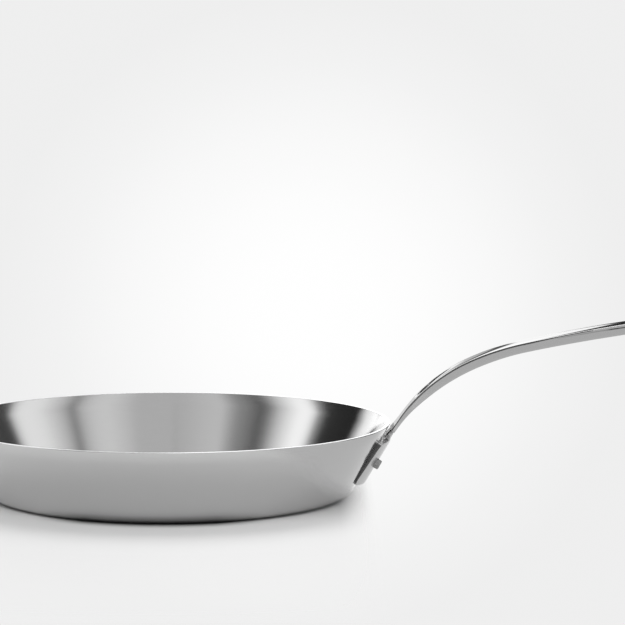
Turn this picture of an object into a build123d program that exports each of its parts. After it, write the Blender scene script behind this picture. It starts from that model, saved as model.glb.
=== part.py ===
from build123d import *
from math import asin, atan2, cos, degrees, radians, sin, tan
import os

# Omelette pan: a pan pressed from one clad sheet, with a cast handle held on by two rivets.
# Millimetres, +Z up. The origin is the middle of the flat base, on the surface the pan stands on.
# The handle points along +X, and the pan is the same on both sides of the XZ plane.

# Pan, measured on its outer skin. The sheet is 0.5 mm steel, 1.5 mm aluminium and 0.5 mm steel, bonded.
rim_radius = 140.0
pan_height = 46.6
foot_radius = 114.5
corner_radius = 12.5
wall_thickness = 2.5

# Rivets
rivet_spacing = 34.0
rivet_height = 24.4
shank_radius = 2.8
tail_radius = 3.15
tail_height = 3.1
tail_chamfer = 0.7
head_radius = 6.4
head_crown_radius = 3.6
head_height = 2.1
head_edge = 0.5

# Flange of the handle, measured up the slant of the wall from the foot
flange_half_width = 33.5
flange_bottom = 12.3
flange_top = 43.3
flange_bottom_corner = 4.5
flange_top_corner = 4.0
flange_thickness_bottom = 4.7
flange_thickness_top = 5.7
flange_edge_bottom = 0.8
flange_edge_top = 2.9
rivet_seat_height = 4.2
seat_margin = 0.5
wall_clearance = 0.05
overrun = 2.0

# Spine of the handle, from inside the flange to the middle of the round end
spine_inset = 2.3
spine_height = 2.4
neck_angle = 52.4
neck_length = 17.5
bend_radius = 117.0
bend_turn = 27.9
shoulder_radius = 165.0
shoulder_turn = 12.0
grip_radius = 1100.0
grip_turn = 6.2

# Section of the handle, with a narrow taper at the top of each side and the edges broken
grip_width = 25.0
grip_thickness = 6.1
taper_height = 2.2
taper_lean = 0.45
edge_break = 0.6

# Places along the spine, then width, thickness and taper height as shares of the three sizes above
section_shares = (
    (0.035, 0.84, 0.42, 0.02),
    (0.055, 0.68, 0.44, 0.02),
    (0.080, 0.54, 0.50, 0.04),
    (0.110, 0.52, 0.62, 0.06),
    (0.145, 0.62, 0.74, 0.06),
    (0.185, 0.71, 0.84, 0.06),
    (0.235, 0.76, 0.91, 0.06),
    (0.295, 0.79, 0.96, 0.06),
    (0.365, 0.82, 0.96, 0.06),
    (0.440, 0.85, 0.94, 0.12),
    (0.515, 0.88, 0.94, 0.35),
    (0.590, 0.93, 0.96, 0.70),
    (0.665, 0.97, 0.98, 0.92),
    (0.740, 1.00, 1.00, 1.00),
    (0.825, 1.00, 1.00, 1.00),
    (0.900, 1.00, 1.00, 1.00),
    (0.955, 1.00, 1.00, 1.00),
    (1.000, 1.00, 1.00, 1.00),
)

# Short waist between the flange and the shoulders of the handle, by the same three shares
waist_shares = (
    (0.000, 1.10, 0.72, 0.20),
    (0.010, 0.70, 0.62, 0.15),
    (0.022, 0.52, 0.52, 0.10),
    (0.050, 0.44, 0.36, 0.02),
)

# Shallow channel along the top of the handle
channel_depth = 1.1
channel_radius = 38.0
channel_rise = 0.8
channel_shares = (
    (0.130, -0.05, 0.30),
    (0.150, 0.25, 0.35),
    (0.190, 0.65, 0.55),
    (0.260, 0.90, 0.80),
    (0.400, 1.00, 1.00),
    (0.700, 1.00, 1.00),
    (0.840, 0.80, 1.00),
    (0.880, -0.05, 1.00),
)

# Hanging hole
hanging_hole_radius = 4.5

# Lean of the wall from upright, and the middle of the bend at its foot
lean = atan2(rim_radius - foot_radius, pan_height)
bend_centre_radius = foot_radius - corner_radius * tan((radians(90) - lean) / 2)

os.makedirs("parts", exist_ok=True)


def bend_end(depth):
    """Where the bend meets the straight wall, on the skin this far inside the outer one."""
    reach = corner_radius - depth
    return (bend_centre_radius + reach * cos(lean), corner_radius - reach * sin(lean))


def rim_end(depth, height=pan_height):
    """Where the straight wall reaches a height, on the skin this far inside the outer one."""
    return (foot_radius + height * tan(lean) - depth / cos(lean), height)


def wall_plane(angle, height):
    """A plane that touches the outer wall at an angle round the pan: X sideways, Y up, Z out."""
    radius = foot_radius + height * tan(lean)
    turn = radians(angle)
    out = (cos(turn) * cos(lean), sin(turn) * cos(lean), -sin(lean))
    side = (-sin(turn), cos(turn), 0)
    place = (radius * cos(turn), radius * sin(turn), height)
    return Plane(origin=place, x_dir=side, z_dir=out)


rivet_angle = degrees(asin(rivet_spacing / 2 / (foot_radius + rivet_height * tan(lean))))
rivet_planes = [wall_plane(side * rivet_angle, rivet_height) for side in (-1, 1)]
foot_plane = wall_plane(0, 0)


# Pan: one sheet, its outer skin and its inner skin joined by a flat-cut rim, with two rivet holes
with BuildPart() as pan_body:
    with BuildSketch(Plane.XZ):
        with BuildLine():
            wall_down = (-sin(lean), -cos(lean))
            Line((0, 0), (bend_centre_radius, 0))
            TangentArc((bend_centre_radius, 0), bend_end(0), tangent=(1, 0))
            Line(bend_end(0), rim_end(0))
            Line(rim_end(0), rim_end(wall_thickness))
            Line(rim_end(wall_thickness), bend_end(wall_thickness))
            floor_end = (bend_centre_radius, wall_thickness)
            TangentArc(bend_end(wall_thickness), floor_end, tangent=wall_down)
            Line(floor_end, (0, wall_thickness))
            Line((0, wall_thickness), (0, 0))
        make_face()
    revolve(axis=Axis.Z)
    for plane in rivet_planes:
        with BuildSketch(plane):
            Circle(shank_radius)
        extrude(amount=wall_thickness + overrun, both=True, mode=Mode.SUBTRACT)

pan_body.part.label = "pan_body"
export_step(pan_body.part, "parts/pan_body.step")

# Rivets: a low head inside the pan, a shank through wall and flange, and a short tail outside.
# The flat underside of a head touches the round wall at its two sides, so it stands off by the sag.
inner_wall_radius = rim_end(wall_thickness, rivet_height)[0] / cos(lean)
head_sag = head_radius**2 / (2 * inner_wall_radius)
head_under = -wall_thickness - head_sag

with BuildPart() as rivets:
    for plane in rivet_planes:
        half_plane = Plane(origin=plane.origin, x_dir=plane.x_dir, z_dir=-plane.y_dir)
        tail_end = rivet_seat_height + tail_height
        with BuildSketch(half_plane):
            with BuildLine():
                head_side = (head_radius, head_under - head_edge)
                head_crown = (head_crown_radius, head_under - head_height)
                Line((0, tail_end), (tail_radius - tail_chamfer, tail_end))
                Line((tail_radius - tail_chamfer, tail_end), (tail_radius, tail_end - tail_chamfer))
                Line((tail_radius, tail_end - tail_chamfer), (tail_radius, rivet_seat_height))
                Line((tail_radius, rivet_seat_height), (shank_radius, rivet_seat_height))
                Line((shank_radius, rivet_seat_height), (shank_radius, head_under))
                Line((shank_radius, head_under), (head_radius, head_under))
                Line((head_radius, head_under), head_side)
                Line(head_side, head_crown)
                Line(head_crown, (0, head_under - head_height))
                Line((0, head_under - head_height), (0, tail_end))
            make_face()
        revolve(axis=Axis(plane.origin, plane.z_dir))

rivets.part.label = "rivets"
export_step(rivets.part, "parts/rivets.step")

# Space that the pan takes up, which the back of the flange is hollowed to
with BuildPart() as pan_space:
    with BuildSketch(Plane.XZ):
        with BuildLine():
            foot = rim_end(-wall_clearance, -overrun)
            brim = rim_end(-wall_clearance, pan_height + overrun)
            Polyline((0, -overrun), foot, brim, (0, pan_height + overrun), close=True)
        make_face()
    revolve(axis=Axis.Z)


def dome_radius(middle, edge, slant):
    """Radius of the flange's outer face, from its thickness in the middle and at its edges."""
    wall_radius = (foot_radius + slant * sin(lean)) / cos(lean)
    wall_drop = flange_half_width**2 / (2 * wall_radius)
    drop = wall_drop + middle - edge
    return (flange_half_width**2 + drop**2) / (2 * drop)


# Flange: a plate hollowed to the pan's wall, thick in the middle and thin at its edges
with BuildPart() as flange:
    with BuildSketch(foot_plane) as flange_outline:
        with Locations((0, (flange_bottom + flange_top) / 2)):
            Rectangle(2 * flange_half_width, flange_top - flange_bottom)
        fillet(flange_outline.vertices().group_by(Axis.Y)[-1], flange_top_corner)
        fillet(flange_outline.vertices().group_by(Axis.Y)[0], flange_bottom_corner)
    extrude(amount=2 * flange_thickness_top, both=True)
    add(pan_space.part, mode=Mode.SUBTRACT)
    dome_ends = (
        (flange_bottom - overrun, flange_thickness_bottom, flange_edge_bottom),
        (flange_top + overrun, flange_thickness_top, flange_edge_top),
    )
    for slant, middle, edge in dome_ends:
        radius = dome_radius(middle, edge, slant)
        centre = foot_plane.from_local_coords((0, slant, middle - radius))
        with BuildSketch(Plane(origin=centre, x_dir=foot_plane.x_dir, z_dir=foot_plane.y_dir)):
            Circle(radius)
    loft(mode=Mode.INTERSECT)

# Spine: a straight neck, a close bend, an easier one, and a long grip that is nearly straight
spine_start = foot_plane.from_local_coords((0, flange_top - spine_inset, spine_height))
with BuildLine(Plane.XZ) as spine:
    neck = PolarLine((spine_start.X, spine_start.Z), neck_length, neck_angle)
    bend = JernArc(neck @ 1, neck % 1, bend_radius, -bend_turn)
    shoulder = JernArc(bend @ 1, bend % 1, shoulder_radius, -shoulder_turn)
    grip = JernArc(shoulder @ 1, shoulder % 1, grip_radius, -grip_turn)
spine_wire = spine.wire()


def section_plane(share):
    """A plane square to the spine: X across the handle, Y towards its top."""
    length = share * spine_wire.length
    place = spine_wire.position_at(length, position_mode=PositionMode.LENGTH)
    along = spine_wire.tangent_at(length, position_mode=PositionMode.LENGTH)
    return Plane(origin=place, x_dir=(0, 1, 0), z_dir=along)


def half_section(width, thickness, taper):
    """Corners of the handle's section on one side, from the bottom to the top."""
    side = width / 2
    top = thickness / 2
    shoulder = side - taper * taper_lean
    return (
        (0, -top),
        (side - edge_break, -top),
        (side, edge_break - top),
        (side, top - edge_break - taper),
        (shoulder, top - edge_break),
        (shoulder - edge_break, top),
        (0, top),
    )


def spine_sections(shares):
    """Sections along the spine, one for each row in a table of shares."""
    sections = []
    for share, width_share, thickness_share, taper_share in shares:
        side = half_section(
            width_share * grip_width,
            thickness_share * grip_thickness,
            taper_share * taper_height,
        )
        mirrored = tuple((-x, y) for x, y in reversed(side[1:-1]))
        with BuildSketch(section_plane(share)) as section:
            with BuildLine():
                Polyline(*side[1:-1], *mirrored, close=True)
            make_face()
        sections.append(section.sketch)
    return sections


with BuildPart() as handle:
    loft(sections=spine_sections(section_shares))
    end_plane = section_plane(1)
    with BuildSketch(end_plane):
        with BuildLine():
            Polyline(*half_section(grip_width, grip_thickness, taper_height), close=True)
        make_face()
    revolve(axis=Axis(end_plane.origin, end_plane.y_dir), revolution_arc=-180)
    for share, depth_share, radius_share in channel_shares:
        floor_plane = section_plane(share)
        radius = channel_radius * radius_share
        station = [row for row in section_shares if row[0] <= share][-1]
        following = [row for row in section_shares if row[0] > share][0]
        blend = (share - station[0]) / (following[0] - station[0])
        thickness_share = station[2] + blend * (following[2] - station[2])
        top = thickness_share * grip_thickness / 2
        floor = top - depth_share * channel_depth
        chord = top + channel_rise
        reach = (radius**2 - (radius + floor - chord) ** 2) ** 0.5
        with BuildSketch(floor_plane):
            with BuildLine():
                ThreePointArc((-reach, chord), (0, floor), (reach, chord))
                Line((reach, chord), (-reach, chord))
            make_face()
    loft(mode=Mode.SUBTRACT)
    loft(sections=spine_sections(waist_shares))
    add(flange.part)
    for plane in rivet_planes:
        with BuildSketch(plane):
            Circle(shank_radius)
        extrude(amount=rivet_seat_height + overrun, both=True, mode=Mode.SUBTRACT)
        with BuildSketch(plane.offset(rivet_seat_height)):
            Circle(tail_radius + seat_margin)
        extrude(amount=tail_height, mode=Mode.SUBTRACT)
    with BuildSketch(Plane(origin=end_plane.origin, x_dir=end_plane.x_dir, z_dir=end_plane.y_dir)):
        Circle(hanging_hole_radius)
    extrude(amount=grip_thickness, both=True, mode=Mode.SUBTRACT)

handle.part.label = "handle"
export_step(handle.part, "parts/handle.step")
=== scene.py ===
"""Omelette pan: a pan pressed from clad sheet, a cast channelled handle and two rivets, in a pale studio.

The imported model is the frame. The pieces are made again here with rounded edges, round the same
named sizes, in millimetres, and every piece rides on the one body.
"""

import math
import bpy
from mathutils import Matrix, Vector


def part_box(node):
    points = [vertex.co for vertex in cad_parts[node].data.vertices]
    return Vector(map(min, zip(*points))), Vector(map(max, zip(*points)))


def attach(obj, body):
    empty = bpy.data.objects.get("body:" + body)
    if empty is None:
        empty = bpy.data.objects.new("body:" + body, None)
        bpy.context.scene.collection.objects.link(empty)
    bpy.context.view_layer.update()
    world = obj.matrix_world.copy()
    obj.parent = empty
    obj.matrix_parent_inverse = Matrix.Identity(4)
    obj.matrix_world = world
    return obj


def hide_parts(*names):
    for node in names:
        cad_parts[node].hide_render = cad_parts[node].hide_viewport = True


bl_info = {
    "name": "Omelette pan",
    "version": (1, 0, 0),
    "blender": (4, 5, 0),
    "location": "View3D > Sidebar > Omelette pan",
    "description": "Dresses the packed omelette pan in steel and sets it in a pale studio",
    "category": "Object",
}

import bmesh
import bpy
from mathutils import Matrix, Vector

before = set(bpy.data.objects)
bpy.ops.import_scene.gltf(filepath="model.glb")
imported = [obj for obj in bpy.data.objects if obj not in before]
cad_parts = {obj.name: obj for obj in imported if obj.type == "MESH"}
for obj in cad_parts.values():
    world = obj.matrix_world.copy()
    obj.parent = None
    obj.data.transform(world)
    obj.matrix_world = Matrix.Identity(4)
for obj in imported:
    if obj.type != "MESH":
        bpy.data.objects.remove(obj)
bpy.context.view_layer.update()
pan_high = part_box("pan_body")[1]

MM = 0.001
COLLECTION = "omelette_pan"


def length_setting(name, description, default):
    """A size that a user may change."""
    return bpy.props.FloatProperty(name=name, description=description + ", in mm", default=default)


def share_setting(name, description, default):
    """A share from 0 to 1 that a user may change."""
    return bpy.props.FloatProperty(
        name=name, description=description, default=default, min=0, max=1, subtype="FACTOR"
    )


def colour_setting(name, description, default):
    """A colour that a user may change."""
    return bpy.props.FloatVectorProperty(
        name=name, description=description, default=default, subtype="COLOR", size=3, min=0, max=1
    )


def count_setting(name, description, default, least):
    """A number of steps that a user may change."""
    return bpy.props.IntProperty(name=name, description=description, default=default, min=least)


class PanSizes(bpy.types.PropertyGroup):
    """Sizes of the pressed pan."""

    rim_radius: length_setting("Rim radius", "Outer radius at the rim", pan_high.x / MM)
    height: length_setting("Height", "From the base to the rim", pan_high.z / MM)
    foot_radius: length_setting("Foot radius", "Where the wall's line meets the base", 114.5)
    corner_radius: length_setting("Corner radius", "Bend between base and wall", 12.5)
    wall: length_setting("Sheet thickness", "All three bonded layers", 2.5)
    skin: length_setting("Steel skin", "Thickness of each steel layer", 0.5)
    rim_break: length_setting("Rim break", "Rounding of the cut rim's corners", 0.3)
    segments: count_setting("Segments", "Steps round the pan", 384, 48)


class HandleSizes(bpy.types.PropertyGroup):
    """Sizes of the cast handle."""

    grip_width: length_setting("Grip width", "Full width of the grip", 25.0)
    grip_thickness: length_setting("Grip thickness", "Full thickness of the grip", 6.1)
    taper_height: length_setting("Taper height", "Height of the sloped band along each side", 2.2)
    edge: length_setting("Edge rounding", "Radius of the handle's lower edges", 0.45)
    top_break: length_setting("Top break", "Bevel along the top of each side", 0.9)
    channel_depth: length_setting("Channel depth", "Depth of the channel in the top", 1.1)
    channel_radius: length_setting("Channel radius", "Radius of the channel's floor", 38.0)
    hole_radius: length_setting("Hanging hole", "Radius of the hanging hole", 4.5)
    stations: count_setting("Stations", "Sections along the handle", 260, 20)


class FlangeSizes(bpy.types.PropertyGroup):
    """Sizes of the flange that hugs the wall."""

    half_width: length_setting("Half width", "From its middle to each side", 32.7)
    bottom: length_setting("Bottom", "Slant distance of its lower edge from the foot", 12.3)
    top: length_setting("Top", "Slant distance of its upper edge from the foot", 43.3)
    clearance: length_setting("Clearance", "Gap between flange and wall", 0.05)


class RivetSizes(bpy.types.PropertyGroup):
    """Sizes of the two rivets."""

    spacing: length_setting("Spacing", "Between the two rivets", 34.0)
    height: length_setting("Height", "Of the rivets above the base", 24.4)
    head_radius: length_setting("Head radius", "Of the low head inside the pan", 6.4)
    head_height: length_setting("Head height", "Of the low head inside the pan", 2.1)
    tail_radius: length_setting("Tail radius", "Of the short end outside", 3.15)
    seat: length_setting("Seat", "From the outer wall to the flat cut under each tail", 4.2)
    tail_end: length_setting("Tail end", "From the outer wall to the end of the tail", 7.3)


class Finishes(bpy.types.PropertyGroup):
    """Colours and roughness of the steels."""

    satin: colour_setting("Satin steel", "Colour of the pan's steel", (0.60, 0.60, 0.60))
    core: colour_setting("Cut core", "Colour of the aluminium layer in the rim", (0.93, 0.94, 0.95))
    cast: colour_setting("Cast steel", "Colour of the handle's steel", (0.57, 0.57, 0.57))
    rivet: colour_setting("Rivet steel", "Colour of the rivets", (0.33, 0.33, 0.33))
    # This dark colour is painted reflection and shade: it stands in for the dark things that the handle's
    # bevels, shoulders and flange sides mirror
    painted_shade_and_reflection: colour_setting("Dull steel", "Colour of the handle's bevels and flange edges", (0.12, 0.12, 0.12))
    satin_roughness: share_setting("Satin roughness", "Of the brushed pan", 0.13)
    polish_roughness: share_setting("Polish roughness", "Of the handle's top", 0.05)


class StudioSettings(bpy.types.PropertyGroup):
    """Camera, floor and light."""

    camera_place: bpy.props.FloatVectorProperty(
        name="Camera place", description="In the row frame, in mm", size=3,
        default=(90.22, -1433.78, 245.25),
    )
    camera_pitch: bpy.props.FloatProperty(
        name="Camera pitch", description="Below the horizon", default=0.0903, subtype="ANGLE"
    )
    camera_roll: bpy.props.FloatProperty(
        name="Camera roll", description="About the line of sight", default=0.0053, subtype="ANGLE"
    )
    camera_lens: bpy.props.FloatProperty(
        name="Camera lens", description="In mm, for a 36 mm sensor", default=131.28
    )
    floor_radius: length_setting("Floor radius", "Radius of the floor", 900.0)
    floor_colour: colour_setting("Floor colour", "Colour of the floor", (0.78, 0.78, 0.78))


# Along the spine: place, then width, thickness and taper height as shares of the handle's sizes
SECTION_SHARES = (
    (0.035, 0.84, 0.42, 0.02),
    (0.055, 0.68, 0.44, 0.02),
    (0.080, 0.54, 0.50, 0.04),
    (0.110, 0.52, 0.62, 0.06),
    (0.145, 0.62, 0.74, 0.06),
    (0.185, 0.71, 0.84, 0.06),
    (0.235, 0.76, 0.91, 0.06),
    (0.295, 0.79, 0.96, 0.06),
    (0.365, 0.82, 0.96, 0.06),
    (0.440, 0.85, 0.94, 0.12),
    (0.515, 0.88, 0.94, 0.35),
    (0.590, 0.93, 0.96, 0.70),
    (0.665, 0.97, 0.98, 0.92),
    (0.740, 1.00, 1.00, 1.00),
    (1.000, 1.00, 1.00, 1.00),
)
# The same for the waist between the flange and the shoulders
WAIST_SHARES = (
    (0.000, 1.10, 0.72, 0.10),
    (0.010, 0.72, 0.64, 0.08),
    (0.022, 0.54, 0.54, 0.04),
    (0.050, 0.44, 0.38, 0.02),
)
# The same for the channel: place, depth and radius
CHANNEL_SHARES = (
    (0.140, -0.05, 0.22),
    (0.152, 0.35, 0.24),
    (0.165, 0.90, 0.28),
    (0.185, 1.00, 0.34),
    (0.205, 1.00, 0.60),
    (0.260, 1.00, 0.80),
    (0.400, 1.00, 1.00),
    (0.700, 1.00, 1.00),
    (0.840, 0.80, 1.00),
    (0.880, -0.05, 1.00),
)

# Along the spine: place, then the bevel on top as a share of its size
BREAK_SHARES = ((0.0, 1.0), (0.48, 1.0), (0.60, 0.5), (1.0, 0.5))
# The bevel takes no more than this share of the thickness
BREAK_LIMIT = 0.22

# Section of the grip, in mm: its least taper, the rounding of its edges and the softness of the channel's lip
LEAST_TAPER = 0.1
TAPER_ROUNDING = 0.3
LIP_ROUNDING = 0.22
CHANNEL_SOFTNESS = 0.12
# The channel's floor is plain where it lies more than this many softnesses below the top
FAR_BELOW_LIP = -30
# Points across half of the section's top
TOP_STEPS = 22

# Places along the spine where the neck starts, where the painted dark reflection on the bevels ends, and
# where the painted dark shade on the shoulders ends
NECK_SHARE = SECTION_SHARES[0][0] - 0.02
PAINTED_REFLECTION_BEVEL_END = 0.67
PAINTED_SHADE_SHOULDER_END = 0.050
# A face of the grip is on top above these: how far it faces up, and its height over the spine in mm
TOP_FACING = 0.3
TOP_LIFT = -0.5
# A bevel faces up between these two, and sideways by more than the third
BEVEL_FACING = (0.44, 0.95)
BEVEL_SIDEWAYS = 0.3
# A side of the flange faces sideways by more than this, and is given the painted dark reflection
FLANGE_SIDE_FACING = 0.75

# Flange at its lower and its upper edge, in mm: thickness in the middle and at the sides, and corner radius
FLANGE_EDGES = ((4.7, 0.8, 4.5), (5.7, 2.9, 4.0))
# Bevel round its outer edges, in mm
FLANGE_BEVEL = 0.5
# Room round a rivet's tail in its seat, and the depth that the seat's cutter clears, in mm
SEAT_ROOM = 0.5
SEAT_CUT = 4.0

# Spine, in mm and degrees: how far below the flange's top and off the wall it starts, its first slope, and
# its runs, each with a length or a radius, and a turn
SPINE_INSET = 2.3
SPINE_HEIGHT = 2.4
NECK_ANGLE = math.radians(52.4)
SPINE_RUNS = ((17.5, None, 0.0), (None, 117.0, 27.9), (None, 165.0, 12.0), (None, 1100.0, 6.2))
# How far the taper leans in for each mm of its height
TAPER_LEAN = 0.45

# Rivets, in mm: the head's edge, its rounding, its skirt, how far it sinks in, and the tail's rounding
HEAD_EDGE = 0.5
HEAD_ROUNDING = 0.16
HEAD_SKIRT = 0.4
HEAD_SUNK = 0.3
TAIL_ROUNDING = 0.8

# Grain of the steels: waves per radian round the pan, and otherwise per metre
PAN_GRAIN_ROUND = 14.0
PAN_GRAIN_ACROSS = 5200.0
CAST_GRAIN = (900, 5200, 5200)
POLISH_GRAIN = (300, 900, 900)
RIVET_GRAIN = (4000, 4000, 4000)
# Roughness of the plain castings, how far the pan's strays, and the height of all grain, in metres
CAST_ROUGHNESS = 0.30
RIVET_ROUGHNESS = 0.28
PAN_ROUGHNESS_SPREAD = 0.04
BUMP_DEPTH = 0.00002
# In mm: a ring smaller than the first is one point, points closer than the second become one, and the
# hanging hole's cutter is as long as the third
ON_AXIS = 0.000001
WELD = 0.001
HOLE_CUT = 16.0
# Edges that turn by more than this are sharp
SMOOTH_UP_TO = math.radians(35)
# The cut layers show within this much of the rim's top, in mm
RIM_FACE = 0.02


def collection():
    """The collection that holds the pieces, made when first asked for."""
    found = bpy.data.collections.get(COLLECTION)
    if found is None:
        found = bpy.data.collections.new(COLLECTION)
        bpy.context.scene.collection.children.link(found)
    return found


def new_piece(name, bm):
    """A smooth-shaded object in metres from a bmesh in millimetres."""
    bmesh.ops.scale(bm, vec=(MM, MM, MM), verts=bm.verts)
    mesh = bpy.data.meshes.new(name)
    bm.to_mesh(mesh)
    bm.free()
    for face in mesh.polygons:
        face.use_smooth = True
    mesh.set_sharp_from_angle(angle=SMOOTH_UP_TO)
    piece = bpy.data.objects.new(name, mesh)
    collection().objects.link(piece)
    return piece


def wall_lean(pan):
    """Lean of the wall from upright."""
    return math.atan2(pan.rim_radius - pan.foot_radius, pan.height)


def bend_points(pan, depth, steps):
    """The bend at the foot on the skin this far inside the outer one, from base to wall."""
    turn = math.pi / 2 - wall_lean(pan)
    middle = pan.foot_radius - pan.corner_radius * math.tan(turn / 2)
    reach = pan.corner_radius - depth
    points = []
    for i in range(steps + 1):
        angle = turn * i / steps
        points.append((middle + reach * math.sin(angle), pan.corner_radius - reach * math.cos(angle)))
    return points


def rim_point(pan, depth, height):
    """Where the straight wall is at a height, on the skin this far inside the outer one."""
    lean = wall_lean(pan)
    return (pan.foot_radius + height * math.tan(lean) - depth / math.cos(lean), height)


def rounded(before, corner, after, radius, steps):
    """Points of an arc that rounds a corner of an outline."""
    a = Vector(before) - Vector(corner)
    b = Vector(after) - Vector(corner)
    half = a.angle(b) / 2
    reach = min(radius / math.tan(half), 0.45 * a.length, 0.45 * b.length)
    radius = reach * math.tan(half)
    start = Vector(corner) + a.normalized() * reach
    end = Vector(corner) + b.normalized() * reach
    middle = Vector(corner) + (a.normalized() + b.normalized()).normalized() * radius / math.sin(half)
    sweep = math.pi - 2 * half
    points = []
    for i in range(steps + 1):
        share = i / steps
        from_start = (start - middle) * math.sin((1 - share) * sweep)
        from_end = (end - middle) * math.sin(share * sweep)
        points.append(tuple(middle + (from_start + from_end) / math.sin(sweep)))
    return points


def between(a, b, shares):
    """Points on the line from a to b."""
    return [tuple(Vector(a).lerp(Vector(b), share)) for share in shares]


def spin(bm, outline, segments, place=Matrix.Identity(4)):
    """A closed surface from an outline of (radius, height) that starts and ends on the axis."""
    rings = []
    for radius, height in outline:
        if radius < ON_AXIS:
            rings.append([bm.verts.new(place @ Vector((0, 0, height)))])
            continue
        ring = []
        for i in range(segments):
            angle = 2 * math.pi * i / segments
            point = Vector((radius * math.cos(angle), radius * math.sin(angle), height))
            ring.append(bm.verts.new(place @ point))
        rings.append(ring)
    for low, high in zip(rings, rings[1:]):
        for i in range(segments):
            j = (i + 1) % segments
            corners = [low[i % len(low)], low[j % len(low)], high[j % len(high)], high[i % len(high)]]
            kept = []
            for corner in corners:
                if corner not in kept:
                    kept.append(corner)
            bm.faces.new(kept)
    return rings


def skin_over(bm, rings):
    """Quads between closed rings of the same number of points, and a lid on each end."""
    rows = [[bm.verts.new(point) for point in ring] for ring in rings]
    count = len(rows[0])
    for low, high in zip(rows, rows[1:]):
        for i in range(count):
            j = (i + 1) % count
            bm.faces.new((low[i], low[j], high[j], high[i]))
    bm.faces.new(list(reversed(rows[0])))
    bm.faces.new(rows[-1])


def eased(rows, share, column):
    """A column of a table of shares at any place, by a curve that doesn't overshoot its rows."""
    if share <= rows[0][0]:
        return rows[0][column]
    if share >= rows[-1][0]:
        return rows[-1][column]
    i = max(k for k in range(len(rows) - 1) if rows[k][0] <= share)
    slopes = []
    for k in (i, i + 1):
        if k == 0 or k == len(rows) - 1:
            slopes.append(0.0)
            continue
        back = (rows[k][column] - rows[k - 1][column]) / (rows[k][0] - rows[k - 1][0])
        ahead = (rows[k + 1][column] - rows[k][column]) / (rows[k + 1][0] - rows[k][0])
        slopes.append(0.0 if back * ahead <= 0 else 2 * back * ahead / (back + ahead))
    run = rows[i + 1][0] - rows[i][0]
    t = (share - rows[i][0]) / run
    start, end = rows[i][column], rows[i + 1][column]
    return (
        start * (1 + 2 * t) * (1 - t) ** 2
        + end * t * t * (3 - 2 * t)
        + run * slopes[0] * t * (1 - t) ** 2
        - run * slopes[1] * t * t * (1 - t)
    )


def foot_axes(pan):
    """Out from the wall and up its slant, at the handle's side of the pan."""
    lean = wall_lean(pan)
    out = Vector((math.cos(lean), 0, -math.sin(lean)))
    up = Vector((math.sin(lean), 0, math.cos(lean)))
    return out, up


class Spine:
    """The handle's middle line in the XZ plane: a straight neck and three bends."""

    def __init__(self, pan, flange):
        out, up = foot_axes(pan)
        slant = flange.top - SPINE_INSET
        place = Vector((pan.foot_radius, 0, 0)) + up * slant + out * SPINE_HEIGHT
        self.runs = []
        angle = NECK_ANGLE
        for length, radius, turn in SPINE_RUNS:
            if radius:
                length = radius * math.radians(turn)
            self.runs.append((length, radius, angle, place))
            place = self.along(self.runs[-1], length)[0]
            angle -= math.radians(turn)
        self.length = sum(run[0] for run in self.runs)

    def along(self, run, distance):
        """Place and slope at a distance into one run."""
        length, radius, angle, place = run
        if not radius:
            return place + Vector((math.cos(angle), 0, math.sin(angle))) * distance, angle
        turned = angle - distance / radius
        step = Vector((math.sin(angle) - math.sin(turned), 0, math.cos(turned) - math.cos(angle)))
        return place + step * radius, turned

    def at(self, share):
        """A matrix whose X goes across the handle, Y towards its top and Z along it."""
        left = share * self.length
        for run in self.runs:
            if left <= run[0] or run is self.runs[-1]:
                place, angle = self.along(run, left)
                break
            left -= run[0]
        across = Vector((0, 1, 0))
        ahead = Vector((math.cos(angle), 0, math.sin(angle)))
        top = ahead.cross(across)
        matrix = Matrix((across, top, ahead)).transposed().to_4x4()
        matrix.translation = place
        return matrix


def half_outline(width, thickness, taper, edge, top_break):
    """One side of the handle's section, from its bottom middle to where its top begins."""
    side = width / 2
    top = thickness / 2
    lip = side - taper * TAPER_LEAN
    corners = (
        (0, -top),
        (side, -top),
        (side, top - top_break - taper),
        (lip, top - top_break),
        (lip - top_break, top),
        (0, top),
    )
    points = between(corners[0], corners[1], (0, 0.5, 0.85))
    points += rounded(corners[0], corners[1], corners[2], edge, 5)
    points += between(corners[1], corners[2], (0.5,))
    points += rounded(corners[1], corners[2], corners[3], TAPER_ROUNDING, 3)
    points += rounded(corners[2], corners[3], corners[4], LIP_ROUNDING, 3)
    points += rounded(corners[3], corners[4], corners[5], TAPER_ROUNDING, 3)
    return points


def top_line(start, height, dip_depth, dip_radius, steps):
    """The top of the section from one side to the middle, with the channel sunk into it."""
    points = []
    for i in range(1, steps + 1):
        x = start * (1 - i / steps)
        level = height
        if dip_depth > 0:
            inside = max(dip_radius**2 - x * x, 0) ** 0.5
            channel = height - dip_depth + dip_radius - inside
            gap = (channel - height) / CHANNEL_SOFTNESS
            level = channel
            if gap > FAR_BELOW_LIP:
                level = height - CHANNEL_SOFTNESS * math.log1p(math.exp(-gap))
        points.append((x, level))
    return points


def section_ring(sizes, share, shares, with_channel):
    """A closed outline of the handle at a place along its spine, in that section's plane."""
    width = eased(shares, share, 1) * sizes.grip_width
    thickness = eased(shares, share, 2) * sizes.grip_thickness
    taper = max(eased(shares, share, 3) * sizes.taper_height, LEAST_TAPER)
    top_break = min(sizes.top_break, BREAK_LIMIT * thickness) * eased(BREAK_SHARES, share, 1)
    side = half_outline(width, thickness, taper, sizes.edge, top_break)
    depth = 0.0
    radius = sizes.channel_radius
    if with_channel and CHANNEL_SHARES[0][0] < share < CHANNEL_SHARES[-1][0]:
        depth = eased(CHANNEL_SHARES, share, 1) * sizes.channel_depth
        radius = eased(CHANNEL_SHARES, share, 2) * sizes.channel_radius
    side += top_line(side[-1][0], thickness / 2, depth, radius, TOP_STEPS)
    mirrored = [(-x, y) for x, y in reversed(side[1:-1])]
    return side + mirrored


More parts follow.
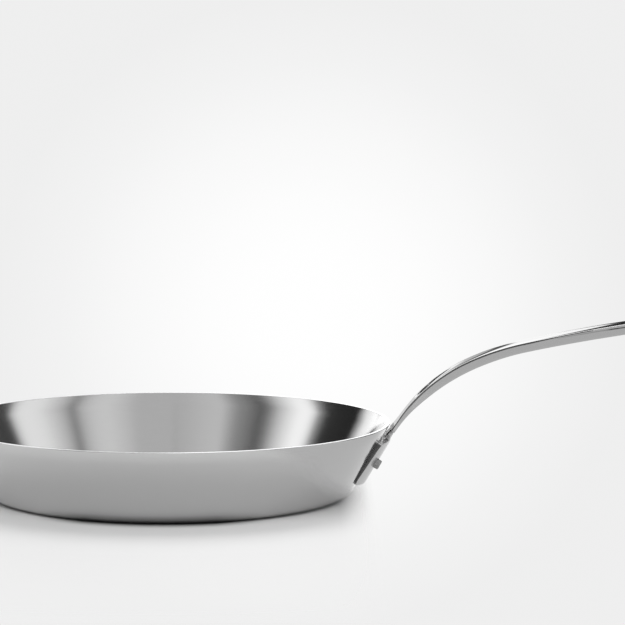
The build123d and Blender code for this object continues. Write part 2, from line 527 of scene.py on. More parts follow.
def steel_nodes(name):
    """A material with an empty node tree, its shader and its output."""
    material = bpy.data.materials.new(name)
    material.use_nodes = True
    nodes = material.node_tree.nodes
    nodes.clear()
    output = nodes.new("ShaderNodeOutputMaterial")
    shader = nodes.new("ShaderNodeBsdfPrincipled")
    shader.inputs["Metallic"].default_value = 1.0
    material.node_tree.links.new(shader.outputs["BSDF"], output.inputs["Surface"])
    return material, nodes, material.node_tree.links, shader


def maths(nodes, links, operation, first, second=None):
    """A Math node with each input linked or set."""
    node = nodes.new("ShaderNodeMath")
    node.operation = operation
    for socket, value in zip(node.inputs, (first, second)):
        if value is None:
            continue
        if isinstance(value, (int, float)):
            socket.default_value = value
        else:
            links.new(value, socket)
    return node.outputs[0]


def blend(nodes, links, first, second, factor, kind="MIX"):
    """A colour Mix node with each input linked or set."""
    node = nodes.new("ShaderNodeMix")
    node.data_type = "RGBA"
    node.blend_type = kind
    sockets = (node.inputs[0], node.inputs[6], node.inputs[7])
    for socket, value in zip(sockets, (factor, first, second)):
        if isinstance(value, (int, float, tuple)):
            socket.default_value = value
        else:
            links.new(value, socket)
    return node.outputs[2]


def shade_range(nodes, links, value, low, high):
    """Noise from 0 to 1 spread between two values."""
    node = nodes.new("ShaderNodeMapRange")
    node.inputs["To Min"].default_value = low
    node.inputs["To Max"].default_value = high
    links.new(value, node.inputs["Value"])
    return node.outputs["Result"]


def tint(nodes, links, colour, value, spread):
    """The colour made a little lighter or darker by a value from 0 to 1."""
    ramp = nodes.new("ShaderNodeValToRGB")
    ramp.color_ramp.elements[0].color = tuple(c * (1 - spread) for c in colour) + (1,)
    ramp.color_ramp.elements[1].color = tuple(min(1, c * (1 + spread)) for c in colour) + (1,)
    links.new(value, ramp.inputs["Fac"])
    return ramp.outputs["Color"]


def turned_grain(nodes, links):
    """Fine noise drawn out round the pan, as brushing leaves it. Also gives radius and height."""
    coordinates = nodes.new("ShaderNodeTexCoord")
    split = nodes.new("ShaderNodeSeparateXYZ")
    links.new(coordinates.outputs["Object"], split.inputs[0])
    x, y, z = split.outputs
    squares = [maths(nodes, links, "MULTIPLY", side, side) for side in (x, y)]
    radius = maths(nodes, links, "SQRT", maths(nodes, links, "ADD", *squares))
    angle = maths(nodes, links, "ARCTAN2", y, x)
    join = nodes.new("ShaderNodeCombineXYZ")
    waves = ((angle, PAN_GRAIN_ROUND), (radius, PAN_GRAIN_ACROSS), (z, PAN_GRAIN_ACROSS))
    for socket, (value, scale) in zip(join.inputs, waves):
        links.new(maths(nodes, links, "MULTIPLY", value, scale), socket)
    noise = nodes.new("ShaderNodeTexNoise")
    noise.inputs["Scale"].default_value = 1.0
    noise.inputs["Detail"].default_value = 3.0
    links.new(join.outputs[0], noise.inputs["Vector"])
    return noise.outputs["Fac"], radius, z


def add_bump(nodes, links, shader, value, strength):
    """Raises the surface a little by a value."""
    bump = nodes.new("ShaderNodeBump")
    bump.inputs["Strength"].default_value = strength
    bump.inputs["Distance"].default_value = BUMP_DEPTH
    links.new(value, bump.inputs["Height"])
    links.new(bump.outputs["Normal"], shader.inputs["Normal"])


def satin_pan_steel(finishes, pan):
    """Steel brushed round the pan, and the cut layers of the sheet in its rim."""
    material, nodes, links, shader = steel_nodes("satin_pan_steel")
    grain, radius, height = turned_grain(nodes, links)
    steel = tint(nodes, links, finishes.satin, grain, 0.05)
    layer = pan.skin / math.cos(wall_lean(pan)) * MM
    edge = rim_point(pan, 0, pan.height)[0] * MM
    inside = rim_point(pan, pan.wall, pan.height)[0] * MM
    past_inner = maths(nodes, links, "GREATER_THAN", radius, inside + layer)
    before_outer = maths(nodes, links, "LESS_THAN", radius, edge - layer)
    on_top = maths(nodes, links, "GREATER_THAN", height, (pan.height - RIM_FACE) * MM)
    in_core = maths(nodes, links, "MULTIPLY", past_inner, before_outer)
    in_core = maths(nodes, links, "MULTIPLY", in_core, on_top)
    core = tint(nodes, links, finishes.core, grain, 0.04)
    links.new(blend(nodes, links, steel, core, in_core), shader.inputs["Base Color"])
    smoothest = finishes.satin_roughness - PAN_ROUGHNESS_SPREAD
    roughest = finishes.satin_roughness + PAN_ROUGHNESS_SPREAD
    links.new(shade_range(nodes, links, grain, smoothest, roughest), shader.inputs["Roughness"])
    shader.inputs["Anisotropic"].default_value = 0.97
    shader.inputs["Anisotropic Rotation"].default_value = 0.25
    tangent = nodes.new("ShaderNodeTangent")
    tangent.direction_type = "RADIAL"
    tangent.axis = "Z"
    links.new(tangent.outputs[0], shader.inputs["Tangent"])
    add_bump(nodes, links, shader, grain, 0.05)
    return material


def cast_steel(name, colour, roughness, spread, bump, scale):
    """Cast steel drawn with a fine grain along the handle."""
    material, nodes, links, shader = steel_nodes(name)
    coordinates = nodes.new("ShaderNodeTexCoord")
    mapping = nodes.new("ShaderNodeMapping")
    mapping.inputs["Scale"].default_value = scale
    links.new(coordinates.outputs["Object"], mapping.inputs["Vector"])
    noise = nodes.new("ShaderNodeTexNoise")
    noise.inputs["Scale"].default_value = 1.0
    noise.inputs["Detail"].default_value = 4.0
    links.new(mapping.outputs[0], noise.inputs["Vector"])
    grain = noise.outputs["Fac"]
    links.new(tint(nodes, links, colour, grain, 0.03), shader.inputs["Base Color"])
    rough = shade_range(nodes, links, grain, max(0.0, roughness - spread), roughness + spread)
    links.new(rough, shader.inputs["Roughness"])
    add_bump(nodes, links, shader, grain, bump)
    return material


def dress(piece, material):
    """Gives a piece its material, and nothing else."""
    piece.data.materials.clear()
    piece.data.materials.append(material)


class OMELETTE_OT_press_pan(bpy.types.Operator):
    """Press the pan from one clad sheet, with a bend at its foot and a flat-cut rim"""

    bl_idname = "omelette.press_pan"
    bl_label = "Press the pan"

    def execute(self, context):
        pan = context.scene.omelette_pan
        finishes = context.scene.omelette_finishes
        bend_steps = 14
        outer = bend_points(pan, 0, bend_steps)
        inner = bend_points(pan, pan.wall, bend_steps)
        outer_rim = rim_point(pan, 0, pan.height)
        inner_rim = rim_point(pan, pan.wall, pan.height)
        floor_rings = (0.0, 0.2, 0.4, 0.6, 0.8, 0.97)
        wall_rings = (0.03, 0.2, 0.4, 0.6, 0.8)
        outline = [(outer[0][0] * share, 0.0) for share in floor_rings]
        outline += outer
        outline += between(outer[-1], outer_rim, wall_rings)
        outline += rounded(outer[-1], outer_rim, inner_rim, pan.rim_break, 3)
        outline += between(outer_rim, inner_rim, (0.3, 0.5, 0.7))
        outline += rounded(outer_rim, inner_rim, inner[-1], pan.rim_break, 3)
        outline += between(inner_rim, inner[-1], tuple(1 - share for share in reversed(wall_rings)))
        outline += list(reversed(inner))
        outline += [(inner[0][0] * share, pan.wall) for share in reversed(floor_rings)]
        bm = bmesh.new()
        spin(bm, outline, pan.segments)
        piece = new_piece("pan", bm)
        dress(piece, satin_pan_steel(finishes, pan))
        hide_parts("pan_body")
        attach(piece, "root")
        return {"FINISHED"}


def wall_point(pan, side, slant, lift):
    """A point this far off the outer wall, at a sideways place and a slant height from the foot."""
    lean = wall_lean(pan)
    height = slant * math.cos(lean)
    radius = pan.foot_radius + height * math.tan(lean)
    angle = math.asin(side / radius)
    out = Vector((math.cos(angle) * math.cos(lean), math.sin(angle) * math.cos(lean), -math.sin(lean)))
    return Vector((radius * math.cos(angle), radius * math.sin(angle), height)) + out * lift


def flange_rings(pan, flange):
    """Closed outlines of the flange, one for each slant height, from its lower edge to its upper."""
    (low_middle, low_rim, low_corner), (high_middle, high_rim, high_corner) = FLANGE_EDGES
    corner_steps, plain_steps, columns = 8, 12, 48
    start = flange.bottom + low_corner
    end = flange.top - high_corner
    slants = []
    for i in range(corner_steps):
        turn = math.pi / 2 * i / corner_steps
        slant = flange.bottom + low_corner * (1 - math.cos(turn))
        slants.append((slant, low_corner * (1 - math.sin(turn))))
    for i in range(plain_steps + 1):
        slants.append((start + (end - start) * i / plain_steps, 0.0))
    for i in range(1, corner_steps + 1):
        turn = math.pi / 2 * i / corner_steps
        slants.append((end + high_corner * math.sin(turn), high_corner * (1 - math.cos(turn))))
    rings = []
    for slant, drawn_in in slants:
        share = (slant - flange.bottom) / (flange.top - flange.bottom)
        middle = low_middle + share * (high_middle - low_middle)
        rim = low_rim + share * (high_rim - low_rim)
        reach = flange.half_width - drawn_in
        ring = []
        for i in range(columns + 1):
            side = reach * (2 * i / columns - 1)
            lift = rim + (middle - rim) * (1 - (side / flange.half_width) ** 2)
            ring.append(wall_point(pan, side, slant, lift))
        for i in range(columns, -1, -1):
            side = reach * (2 * i / columns - 1)
            ring.append(wall_point(pan, side, slant, flange.clearance))
        rings.append(ring)
    return rings


def spine_rings(spine, sizes, shares, with_channel, steps):
    """Closed outlines of the handle along the stretch of its spine that a table of shares covers."""
    first, last = shares[0][0], shares[-1][0]
    rings = []
    for i in range(steps + 1):
        share = first + (last - first) * i / steps
        matrix = spine.at(share)
        ring = section_ring(sizes, share, shares, with_channel)
        rings.append([matrix @ Vector((x, y, 0)) for x, y in ring])
    return rings


def round_end(bm, spine, sizes):
    """Half a turn of the grip's outline round the middle of its end."""
    matrix = spine.at(1)
    ring = section_ring(sizes, 1, SECTION_SHARES, True)
    half = ring[: len(ring) // 2 + 1]
    steps = 40
    rows = []
    for i in range(steps + 1):
        turn = math.pi * i / steps
        row = []
        for x, y in half:
            point = Vector((x * math.cos(turn), y, x * math.sin(turn)))
            row.append(bm.verts.new(matrix @ point))
        rows.append(row)
    for low, high in zip(rows, rows[1:]):
        for j in range(len(half) - 1):
            bm.faces.new((low[j], low[j + 1], high[j + 1], high[j]))


def joined(name, first, others, operation="UNION"):
    """One object from several closed ones, which are removed."""
    for other in others:
        modifier = first.modifiers.new(name, "BOOLEAN")
        modifier.operation = operation
        modifier.solver = "EXACT"
        modifier.object = other
    evaluated = first.evaluated_get(bpy.context.evaluated_depsgraph_get())
    mesh = bpy.data.meshes.new_from_object(evaluated)
    first.modifiers.clear()
    old = first.data
    first.data = mesh
    mesh.name = name
    bpy.data.meshes.remove(old)
    for other in others:
        spare = other.data
        bpy.data.objects.remove(other)
        bpy.data.meshes.remove(spare)
    return first


def polish_top(piece, spine, satin, polish, painted_shade_and_reflection):
    """Satin on the sides and underside, polish on the grip's top, and a painted dark reflection and painted
    shade on the bevels, shoulders and flange edges.
    """
    piece.data.materials.clear()
    for material in (satin, polish, painted_shade_and_reflection):
        piece.data.materials.append(material)
    steps = 400
    frames = [spine.at(i / steps) for i in range(steps + 1)]
    least, most = BEVEL_FACING
    for face in piece.data.polygons:
        centre = face.center / MM
        nearest = min(
            frames,
            key=lambda m: (m.translation.x - centre.x) ** 2 + (m.translation.z - centre.z) ** 2,
        )
        share = frames.index(nearest) / steps
        top = nearest.to_3x3().col[1]
        lift = (centre - nearest.translation).dot(top)
        facing = face.normal.dot(top)
        sideways = abs(face.normal.dot(nearest.to_3x3().col[0]))
        if share > NECK_SHARE and facing > TOP_FACING and lift > TOP_LIFT:
            # Index 2 paints a dark reflection on the bevels and dark shade on the shoulders
            bevel = share < PAINTED_REFLECTION_BEVEL_END and least < facing < most and sideways > BEVEL_SIDEWAYS
            face.material_index = 2 if bevel or share < PAINTED_SHADE_SHOULDER_END else 1
        elif share < NECK_SHARE and abs(face.normal.y) > FLANGE_SIDE_FACING:
            # The flange's sides get the painted dark reflection of the shaded wall
            face.material_index = 2
        else:
            face.material_index = 0


def rivet_places(pan, rivets):
    """A matrix for each rivet, on the outer wall with Z pointing out of it."""
    lean = wall_lean(pan)
    radius = pan.foot_radius + rivets.height * math.tan(lean)
    angle = math.asin(rivets.spacing / 2 / radius)
    places = []
    for turn in (-angle, angle):
        out = Vector((math.cos(turn) * math.cos(lean), math.sin(turn) * math.cos(lean), -math.sin(lean)))
        across = Vector((-math.sin(turn), math.cos(turn), 0))
        place = Matrix((across, out.cross(across), out)).transposed().to_4x4()
        place.translation = Vector((radius * math.cos(turn), radius * math.sin(turn), rivets.height))
        places.append(place)
    return places


def closed_piece(name, bm):
    """A piece whose faces all point outwards."""
    bmesh.ops.recalc_face_normals(bm, faces=bm.faces)
    return new_piece(name, bm)


def cast_grip(spine, sizes):
    """The grip from its neck to its round end, with the hanging hole cut through it."""
    grip = bmesh.new()
    skin_over(grip, spine_rings(spine, sizes, SECTION_SHARES, True, sizes.stations))
    grip.faces.ensure_lookup_table()
    grip.faces.remove(grip.faces[-1])
    round_end(grip, spine, sizes)
    bmesh.ops.remove_doubles(grip, verts=grip.verts, dist=WELD)
    piece = closed_piece("handle_casting", grip)
    hole = bmesh.new()
    reach = HOLE_CUT / 2
    spin(hole, ((0, -reach), (sizes.hole_radius, -reach), (sizes.hole_radius, reach), (0, reach)), 64)
    standing = spine.at(1) @ Matrix.Rotation(-math.pi / 2, 4, "X")
    bmesh.ops.transform(hole, matrix=standing, verts=hole.verts)
    return joined("handle_casting", piece, [closed_piece("hole_cutter", hole)], "DIFFERENCE")


def cast_flange(pan, flange, rivets):
    """The flange with its edges bevelled and a flat seat cut under each rivet's tail."""
    plate = bmesh.new()
    skin_over(plate, flange_rings(pan, flange))
    bmesh.ops.remove_doubles(plate, verts=plate.verts, dist=WELD)
    piece = closed_piece("flange_plate", plate)
    modifier = piece.modifiers.new("edges", "BEVEL")
    modifier.width = FLANGE_BEVEL * MM
    modifier.segments = 3
    modifier.limit_method = "ANGLE"
    modifier.angle_limit = math.radians(50)
    joined("flange_plate", piece, [])
    seats = bmesh.new()
    low, high = rivets.seat, rivets.seat + SEAT_CUT
    reach = rivets.tail_radius + SEAT_ROOM
    for place in rivet_places(pan, rivets):
        spin(seats, ((0, low), (reach, low), (reach, high), (0, high)), 48, place)
    return joined("flange_plate", piece, [closed_piece("seat_cutter", seats)], "DIFFERENCE")


class OMELETTE_OT_cast_handle(bpy.types.Operator):
    """Cast the handle: a flange that hugs the wall, a waist, shoulders and a channelled grip"""

    bl_idname = "omelette.cast_handle"
    bl_label = "Cast the handle"

    def execute(self, context):
        scene = context.scene
        pan, flange, sizes = scene.omelette_pan, scene.omelette_flange, scene.omelette_handle
        finishes = scene.omelette_finishes
        spine = Spine(pan, flange)
        piece = cast_grip(spine, sizes)
        plate = cast_flange(pan, flange, scene.omelette_rivets)
        waist = bmesh.new()
        skin_over(waist, spine_rings(spine, sizes, WAIST_SHARES, False, 40))
        joined("handle_casting", piece, [closed_piece("waist", waist), plate])
        for face in piece.data.polygons:
            face.use_smooth = True
        piece.data.set_sharp_from_angle(angle=SMOOTH_UP_TO)
        smooth = finishes.polish_roughness
        plain = {"roughness": CAST_ROUGHNESS, "spread": 0.05, "bump": 0.05, "scale": CAST_GRAIN}
        satin = cast_steel("cast_satin", finishes.cast, **plain)
        polish = cast_steel("cast_polish", finishes.cast, smooth, spread=0.02, bump=0.004, scale=POLISH_GRAIN)
        # Dark steel that paints reflection and shade onto the bevels, shoulders and flange sides
        painted_shade_and_reflection = cast_steel("cast_painted_shade_and_reflection", finishes.painted_shade_and_reflection, **plain)
        polish_top(piece, spine, satin, polish, painted_shade_and_reflection)
        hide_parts("handle")
        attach(piece, "root")
        return {"FINISHED"}


class OMELETTE_OT_set_rivets(bpy.types.Operator):
    """Set two rivets through the wall and the flange"""

    bl_idname = "omelette.set_rivets"
    bl_label = "Set the rivets"

    def execute(self, context):
        scene = context.scene
        pan, rivets, finishes = scene.omelette_pan, scene.omelette_rivets, scene.omelette_finishes
        under = -pan.wall
        head = under - rivets.head_height
        dome = rivets.head_height - HEAD_EDGE
        crown = (rivets.head_radius**2 + dome**2) / (2 * dome)
        steps = 8
        outline = [(0.0, head)]
        for i in range(1, steps + 1):
            reach = (rivets.head_radius - HEAD_ROUNDING) * i / steps
            outline.append((reach, head + crown - (crown**2 - reach**2) ** 0.5))
        outline += [(rivets.head_radius, under - HEAD_SKIRT), (rivets.head_radius, under + HEAD_SUNK)]
        outline += [(rivets.tail_radius, under + HEAD_SKIRT)]
        side, end = (rivets.tail_radius, rivets.seat), (rivets.tail_radius, rivets.tail_end)
        outline += [side]
        outline += rounded(side, end, (0, rivets.tail_end), TAIL_ROUNDING, 6)
        outline += [(1.0, rivets.tail_end), (0.0, rivets.tail_end)]
        bm = bmesh.new()
        for place in rivet_places(pan, rivets):
            spin(bm, outline, 64, place)
        piece = closed_piece("rivet_pair", bm)
        plain = {"roughness": RIVET_ROUGHNESS, "spread": 0.05, "bump": 0.04, "scale": RIVET_GRAIN}
        dress(piece, cast_steel("rivet_steel", finishes.rivet, **plain))
        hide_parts("rivets")
        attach(piece, "root")
        return {"FINISHED"}


# The studio that only the steel mirrors. Compass angles, in degrees, are 0 on the camera's side and grow to
# its right. Angles behind are 0 straight behind the pan and grow to the camera's left. Each table gives
# places and brightness.
LEFT_OF_STUDIO = (
    (-180, 1.55), (-166, 1.50), (-150, 1.55), (-141, 1.20), (-136, 0.56), (-131, 0.025), (-108, 0.045),
    (-106, 0.12), (-104, 0.26), (-101, 0.40), (-98, 1.25), (-94, 1.55), (-88, 1.50), (-80, 1.12),
    (-73, 0.72), (-67, 0.27), (-61, 0.11), (-55, 0.26), (-45, 0.40), (-34, 0.80), (-26, 0.77),
    (-10, 0.68), (0, 0.66),
)
RIGHT_OF_STUDIO = (
    (0, 0.66), (26, 0.66), (30, 0.69), (36, 0.78), (48, 0.91), (58, 0.88), (66, 0.70), (72, 0.22),
    (77, 0.62), (85, 0.88), (95, 1.16), (108, 1.24), (113, 0.95), (117, 0.09), (124, 0.07),
    (135, 0.09), (150, 1.30), (180, 1.50),
)
# Brightness by elevation, as a share of the above
UP_THE_STUDIO = ((-90, 0.90), (-12, 0.95), (0, 1.00), (60, 1.00), (90, 0.80))

# Groups of cards: brightness by angle, then where they hang by angle and by elevation, 1 where they hang
CARDS_BEHIND = (
    (-20, 0.35), (-13, 0.35), (-9.5, 0.03), (-2.6, 0.03), (-2.2, 0.35), (-2.0, 0.95), (-1.6, 1.42),
    (3.2, 1.42), (4.4, 0.35), (5.2, 0.12), (7.0, 0.12), (8.2, 0.60), (13, 0.75), (14.5, 1.40),
    (17.5, 1.40), (18.5, 0.10), (24, 0.10), (27, 1.40),
)
SPAN_BEHIND = ((-180, 0), (-21, 0), (-18, 1), (24, 1), (27, 0), (180, 0))
RISE_BEHIND = ((-90, 0), (9.5, 0), (11, 1), (35, 1), (42, 0), (90, 0))
# Cards in front, by compass
CARDS_IN_FRONT = ((-9, 0.66), (-7, 0.46), (-3.4, 0.45), (-2.4, 0.08), (0, 0.03), (1.2, 0.03))
SPAN_IN_FRONT = ((-180, 0), (-9, 0), (-7, 1), (1.2, 1), (2, 0), (180, 0))
RISE_IN_FRONT = ((-90, 0), (40.6, 0), (41, 1), (42.9, 1), (43.3, 0), (90, 0))
# A plain sheet below the horizon, all round, by compass
SHEET_BELOW = (
    (-180, 0.74), (0, 0.74), (60, 0.72), (110, 0.68), (147, 0.68), (158, 0.74), (166, 0.84),
    (176, 0.98), (180, 0.98),
)
SPAN_BELOW = ((-180, 1), (180, 1))
RISE_BELOW = ((-90, 1), (-18, 1), (-9, 0), (90, 0))
# A grey card low behind the pan, seen in the neck's top
CARDS_LOW = ((1.2, 1.50), (2.2, 0.80), (10.5, 0.80), (12, 1.60))
SPAN_LOW = ((-180, 0), (1, 0), (2, 1), (11, 1), (12, 0), (180, 0))
RISE_LOW = ((-90, 0), (-9, 0), (-8, 1), (3.5, 1), (4.5, 0), (90, 0))
# A dark card far to the left behind the pan, seen where the channel starts
CARDS_ASIDE = ((25, 0.04), (50, 0.04))
SPAN_ASIDE = ((-180, 0), (25, 0), (26, 1), (48, 1), (50, 0), (180, 0))
RISE_ASIDE = ((-90, 0), (21, 0), (22.5, 1), (38, 1), (40, 0), (90, 0))

# Backdrop that the camera sees: how far below the horizon its white middle is, in radians, and its brightness
# by the angle from there, up to the last angle
BACKDROP_PITCH = 0.0903
BACKDROP = ((0, 1.00), (1.6, 0.995), (2.8, 0.98), (4.6, 0.94), (6.3, 0.89), (7.9, 0.86), (30, 0.86))
# Light that falls on paint from all round
PLAIN_LIGHT = 0.55

# The floor, in metres: where it is solid, 1, by distance from the pan's middle and along the handle
FLOOR_REACH = 0.9
FLOOR_FADE = ((0.20, 1.0), (0.42, 0.0))
FLOOR_CLEARING = ((0.108, 1.0), (0.128, 0.0))
# Shade on it close to the foot, by distance from the pan's middle, and how much shows along the handle
CONTACT_RINGS = ((0.107, 0.10), (0.114, 0.32), (0.119, 0.75), (0.124, 1.0))
CONTACT_SPAN = ((-0.075, 0), (-0.045, 1), (0.035, 1), (0.065, 0))
CONTACT_REACH = 0.2
# It gets greyer by the backdrop's table away from a place behind the pan: degrees per metre, and offset
FLOOR_TONE_SCALE = (40.0, -6.8, 0.0)
FLOOR_TONE_PLACE = (-3.6, 4.5, 0.0)
# How far it lies below the pan's base, in mm
FLOOR_DROP = 0.05

# Camera: width of its sensor in mm, and the nearest and farthest that it sees, in metres
SENSOR_WIDTH = 36.0
CLIPPING = (0.05, 20.0)

# Round lamps: name, place in metres, turn in radians, width in metres and power in watts
LAMPS = (
    ("overhead_softbox", (0.0, 0.5, 1.4), (-0.34, 0, 0), 1.3, 10.0),
    ("front_softbox", (-0.2, -1.2, 1.2), (0.78, 0, -0.15), 1.2, 15.0),
)


def ramp_of(nodes, links, value, rows, low, high):
    """A grey ramp through rows of (place, brightness), whose places lie between low and high."""
    span = nodes.new("ShaderNodeMapRange")
    span.inputs["From Min"].default_value = low
    span.inputs["From Max"].default_value = high
    links.new(value, span.inputs["Value"])
    ramp = nodes.new("ShaderNodeValToRGB")
    elements = ramp.color_ramp.elements
    while len(elements) > 1:
        elements.remove(elements[-1])
    for i, (place, level) in enumerate(rows):
        position = (place - low) / (high - low)
        element = elements[0] if i == 0 else elements.new(position)
        element.position = position
        element.color = (level, level, level, 1)
    links.new(span.outputs["Result"], ramp.inputs["Fac"])
    return ramp.outputs["Color"]


def backdrop_nodes(nodes, links, direction):
    """Brightness of the backdrop in a direction: white straight behind the pan and greyer round that."""
    ahead = nodes.new("ShaderNodeVectorMath")
    ahead.operation = "DOT_PRODUCT"
    ahead.inputs[1].default_value = (0, math.cos(BACKDROP_PITCH), -math.sin(BACKDROP_PITCH))
    links.new(direction, ahead.inputs[0])
    off_axis = maths(nodes, links, "MINIMUM", ahead.outputs["Value"], 1.0)
    off_axis = maths(nodes, links, "DEGREES", maths(nodes, links, "ARCCOSINE", off_axis))
    return ramp_of(nodes, links, off_axis, BACKDROP, 0, BACKDROP[-1][0])


def vector_length(nodes, links, vector):
    """Length of a vector."""
    node = nodes.new("ShaderNodeVectorMath")
    node.operation = "LENGTH"
    links.new(vector, node.inputs[0])
    return node.outputs["Value"]


def floor_paint(studio):
    """Pale paint with painted shade close to the pan's foot, that fades out to the backdrop."""
    material, nodes, links, shader = steel_nodes("studio_floor_paint")
    nodes.remove(shader)
    coordinates = nodes.new("ShaderNodeTexCoord")
    place = coordinates.outputs["Object"]
    split = nodes.new("ShaderNodeSeparateXYZ")
    links.new(place, split.inputs[0])
    along = split.outputs[0]
    from_middle = vector_length(nodes, links, place)
    tone = nodes.new("ShaderNodeMapping")
    tone.inputs["Scale"].default_value = FLOOR_TONE_SCALE
    tone.inputs["Location"].default_value = FLOOR_TONE_PLACE
    links.new(place, tone.inputs["Vector"])
    away = vector_length(nodes, links, tone.outputs[0])
    backdrop = ramp_of(nodes, links, away, BACKDROP, 0, BACKDROP[-1][0])
    colour = blend(nodes, links, backdrop, tuple(studio.floor_colour) + (1,), 1.0, "MULTIPLY")
    shade = ramp_of(nodes, links, from_middle, CONTACT_RINGS, 0.0, FLOOR_REACH)
    in_front = ramp_of(nodes, links, along, CONTACT_SPAN, -CONTACT_REACH, CONTACT_REACH)
    paint = nodes.new("ShaderNodeBsdfDiffuse")
    links.new(blend(nodes, links, colour, shade, in_front, "MULTIPLY"), paint.inputs["Color"])
    fade = ramp_of(nodes, links, from_middle, FLOOR_FADE, 0.0, FLOOR_REACH)
    clearing = ramp_of(nodes, links, along, FLOOR_CLEARING, 0.0, FLOOR_REACH)
    clear = nodes.new("ShaderNodeBsdfTransparent")
    mix = nodes.new("ShaderNodeMixShader")
    links.new(maths(nodes, links, "MULTIPLY", fade, clearing), mix.inputs[0])
    links.new(clear.outputs[0], mix.inputs[1])
    links.new(paint.outputs[0], mix.inputs[2])
    links.new(mix.outputs[0], nodes["Material Output"].inputs["Surface"])
    return material


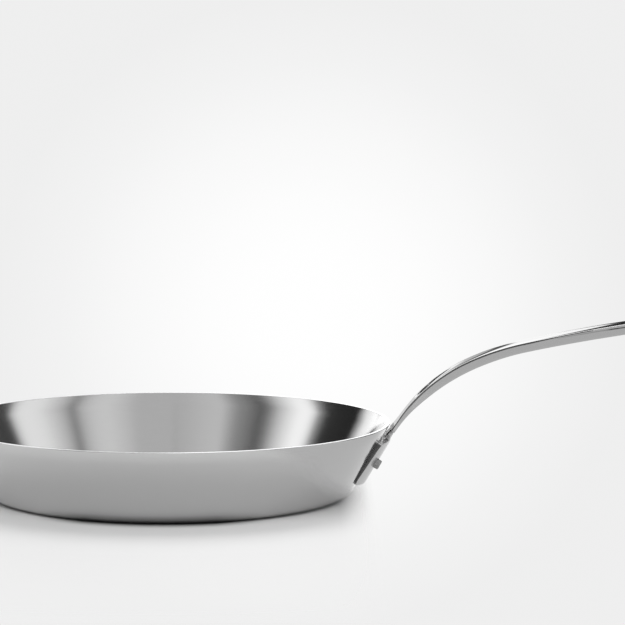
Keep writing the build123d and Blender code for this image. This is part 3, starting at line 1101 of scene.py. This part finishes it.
class OMELETTE_OT_lay_stage(bpy.types.Operator):
    """Lay the pale floor, hang the studio round it and place the lamps and the camera"""

    bl_idname = "omelette.lay_stage"
    bl_label = "Lay the stage"

    def execute(self, context):
        scene = context.scene
        studio = scene.omelette_studio
        self.lay_floor(studio)
        self.paint_world(scene)
        self.hang_lamps()
        self.place_camera(scene, studio)
        return {"FINISHED"}

    def lay_floor(self, studio):
        """A round floor that fades out to the backdrop."""
        bm = bmesh.new()
        shares = (0.0, 0.2, 0.4, 0.6, 0.8, 1.0)
        spin(bm, [(studio.floor_radius * share, -FLOOR_DROP) for share in shares], 96)
        floor = new_piece("studio_floor", bm)
        dress(floor, floor_paint(studio))

    def paint_world(self, scene):
        """Plain light for the paint, a pale backdrop for the camera and the studio for the steel."""
        world = bpy.data.worlds.new("pale_studio")
        scene.world = world
        world.use_nodes = True
        nodes, links = world.node_tree.nodes, world.node_tree.links
        nodes.clear()
        coordinates = nodes.new("ShaderNodeTexCoord")
        split = nodes.new("ShaderNodeSeparateXYZ")
        links.new(coordinates.outputs["Generated"], split.inputs[0])
        x, y, z = split.outputs
        compass = maths(nodes, links, "ARCTAN2", x, maths(nodes, links, "MULTIPLY", y, -1.0))
        compass = maths(nodes, links, "DEGREES", compass)
        rise = maths(nodes, links, "DEGREES", maths(nodes, links, "ARCSINE", z))
        behind = maths(nodes, links, "ARCTAN2", maths(nodes, links, "MULTIPLY", x, -1.0), y)
        behind = maths(nodes, links, "DEGREES", behind)
        left = ramp_of(nodes, links, compass, LEFT_OF_STUDIO, -180, 0)
        right = ramp_of(nodes, links, compass, RIGHT_OF_STUDIO, 0, 180)
        around = blend(nodes, links, left, right, maths(nodes, links, "GREATER_THAN", compass, 0.0))
        upward = ramp_of(nodes, links, rise, UP_THE_STUDIO, -90, 90)
        studio_light = blend(nodes, links, around, upward, 1.0, "MULTIPLY")
        hung = (
            (behind, CARDS_ASIDE, SPAN_ASIDE, RISE_ASIDE),
            (behind, CARDS_LOW, SPAN_LOW, RISE_LOW),
            (behind, CARDS_BEHIND, SPAN_BEHIND, RISE_BEHIND),
            (compass, CARDS_IN_FRONT, SPAN_IN_FRONT, RISE_IN_FRONT),
            (compass, SHEET_BELOW, SPAN_BELOW, RISE_BELOW),
        )
        for angle, cards, span, height in hung:
            shown = ramp_of(nodes, links, angle, cards, cards[0][0], cards[-1][0])
            wide = ramp_of(nodes, links, angle, span, -180, 180)
            tall = ramp_of(nodes, links, rise, height, -90, 90)
            window = maths(nodes, links, "MULTIPLY", wide, tall)
            studio_light = blend(nodes, links, studio_light, shown, window)
        backdrop = backdrop_nodes(nodes, links, coordinates.outputs["Generated"])
        rays = nodes.new("ShaderNodeLightPath")
        plain = (PLAIN_LIGHT, PLAIN_LIGHT, PLAIN_LIGHT, 1)
        light = blend(nodes, links, plain, studio_light, rays.outputs["Is Glossy Ray"])
        light = blend(nodes, links, light, backdrop, rays.outputs["Is Camera Ray"])
        background = nodes.new("ShaderNodeBackground")
        links.new(light, background.inputs["Color"])
        output = nodes.new("ShaderNodeOutputWorld")
        links.new(background.outputs[0], output.inputs["Surface"])

    def hang_lamps(self):
        """A wide soft lamp overhead and another in front, neither seen in the steel."""
        for name, place, turn, width, power in LAMPS:
            light = bpy.data.lights.new(name, "AREA")
            light.shape = "DISK"
            light.size = width
            light.energy = power
            lamp = bpy.data.objects.new(name, light)
            lamp.location = place
            lamp.rotation_euler = turn
            lamp.visible_glossy = False
            lamp.visible_camera = False
            collection().objects.link(lamp)

    def place_camera(self, scene, studio):
        """The camera at the photograph's place and angle."""
        data = bpy.data.cameras.new("photo_camera")
        data.sensor_width = SENSOR_WIDTH
        data.lens = studio.camera_lens
        data.clip_start, data.clip_end = CLIPPING
        camera = bpy.data.objects.new("photo_camera", data)
        look = Matrix.Rotation(math.pi / 2 - studio.camera_pitch, 4, "X")
        roll = Matrix.Rotation(studio.camera_roll, 4, "Z")
        camera.matrix_world = Matrix.Translation(Vector(studio.camera_place) * MM) @ look @ roll
        collection().objects.link(camera)
        scene.camera = camera
        scene.view_settings.view_transform = "Standard"


class OMELETTE_PT_panel(bpy.types.Panel):
    """Lists the steps that make the pan and its stage"""

    bl_idname = "OMELETTE_PT_panel"
    bl_label = "Omelette pan"
    bl_space_type = "VIEW_3D"
    bl_region_type = "UI"
    bl_category = "Omelette pan"

    def draw(self, context):
        for step in STEPS:
            self.layout.operator(step.bl_idname)


STEPS = (
    OMELETTE_OT_press_pan,
    OMELETTE_OT_cast_handle,
    OMELETTE_OT_set_rivets,
    OMELETTE_OT_lay_stage,
)
SETTINGS = {
    "omelette_pan": PanSizes,
    "omelette_handle": HandleSizes,
    "omelette_flange": FlangeSizes,
    "omelette_rivets": RivetSizes,
    "omelette_finishes": Finishes,
    "omelette_studio": StudioSettings,
}


def register():
    """Registers the settings, the steps and the panel."""
    for name, group in SETTINGS.items():
        bpy.utils.register_class(group)
        setattr(bpy.types.Scene, name, bpy.props.PointerProperty(type=group))
    for step in STEPS + (OMELETTE_PT_panel,):
        bpy.utils.register_class(step)


def unregister():
    """Takes back what register added."""
    for step in reversed(STEPS + (OMELETTE_PT_panel,)):
        bpy.utils.unregister_class(step)
    for name, group in SETTINGS.items():
        delattr(bpy.types.Scene, name)
        bpy.utils.unregister_class(group)


def main():
    """Makes every piece and the stage, in order."""
    register()
    bpy.ops.omelette.press_pan()
    bpy.ops.omelette.cast_handle()
    bpy.ops.omelette.set_rivets()
    bpy.ops.omelette.lay_stage()
    bpy.context.view_layer.update()


if __name__ == "__main__":
    main()
